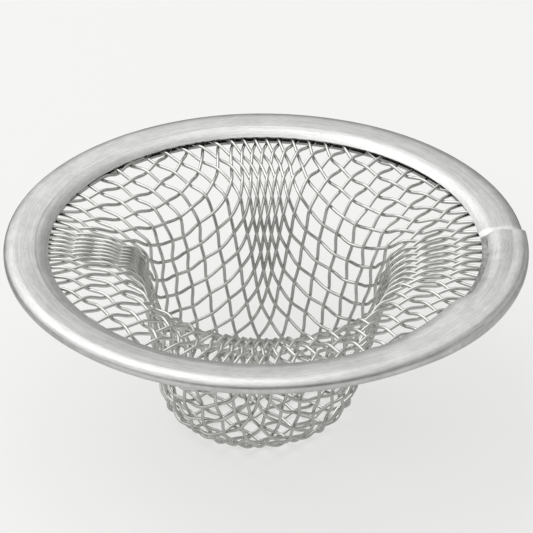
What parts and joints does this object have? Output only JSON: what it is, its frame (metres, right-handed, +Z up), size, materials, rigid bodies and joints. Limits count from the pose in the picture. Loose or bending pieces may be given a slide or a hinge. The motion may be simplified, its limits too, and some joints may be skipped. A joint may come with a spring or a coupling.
{
  "type": "sink strainer",
  "caption": "Drop-in sink strainer: a basket drawn from plain-woven steel wire cloth, its edge clamped in a folded steel band that rests on the drain.",
  "frame": {"origin": "on the basket's axis, on the surface that the mesh floor stands on", "axes": "+Z up along the basket's axis, from its floor to its mouth; +X towards the lap of the rim band"},
  "size_m": [0.0705, 0.07, 0.0284],
  "materials": {
    "band_steel": "satin",
    "wire_steel": "gloss"
  },
  "bodies": {
    "root": {"rim_band": "band_steel", "warp_edge_wires_left": "wire_steel", "warp_edge_wires_right": "wire_steel", "warp_wire_01": "wire_steel", "warp_wire_02": "wire_steel", "warp_wire_03": "wire_steel", "warp_wire_04": "wire_steel", "warp_wire_05": "wire_steel", "warp_wire_06": "wire_steel", "warp_wire_07": "wire_steel", "warp_wire_08": "wire_steel", "warp_wire_09": "wire_steel", "warp_wire_10": "wire_steel", "warp_wire_11": "wire_steel", "warp_wire_12": "wire_steel", "warp_wire_13": "wire_steel", "warp_wire_14": "wire_steel", "warp_wire_15": "wire_steel", "warp_wire_16": "wire_steel", "warp_wire_17": "wire_steel", "warp_wire_18": "wire_steel", "warp_wire_19": "wire_steel", "warp_wire_20": "wire_steel", "warp_wire_21": "wire_steel", "warp_wire_22": "wire_steel", "warp_wire_23": "wire_steel", "warp_wire_24": "wire_steel", "warp_wire_25": "wire_steel", "warp_wire_26": "wire_steel", "warp_wire_27": "wire_steel", "weft_edge_wires_left": "wire_steel", "weft_edge_wires_right": "wire_steel", "weft_wire_01": "wire_steel", "weft_wire_02": "wire_steel", "weft_wire_03": "wire_steel", "weft_wire_04": "wire_steel", "weft_wire_05": "wire_steel", "weft_wire_06": "wire_steel", "weft_wire_07": "wire_steel", "weft_wire_08": "wire_steel", "weft_wire_09": "wire_steel", "weft_wire_10": "wire_steel", "weft_wire_11": "wire_steel", "weft_wire_12": "wire_steel", "weft_wire_13": "wire_steel", "weft_wire_14": "wire_steel", "weft_wire_15": "wire_steel", "weft_wire_16": "wire_steel", "weft_wire_17": "wire_steel", "weft_wire_18": "wire_steel", "weft_wire_19": "wire_steel", "weft_wire_20": "wire_steel", "weft_wire_21": "wire_steel", "weft_wire_22": "wire_steel", "weft_wire_23": "wire_steel", "weft_wire_24": "wire_steel", "weft_wire_25": "wire_steel", "weft_wire_26": "wire_steel", "weft_wire_27": "wire_steel"}
  },
  "joints": []
}
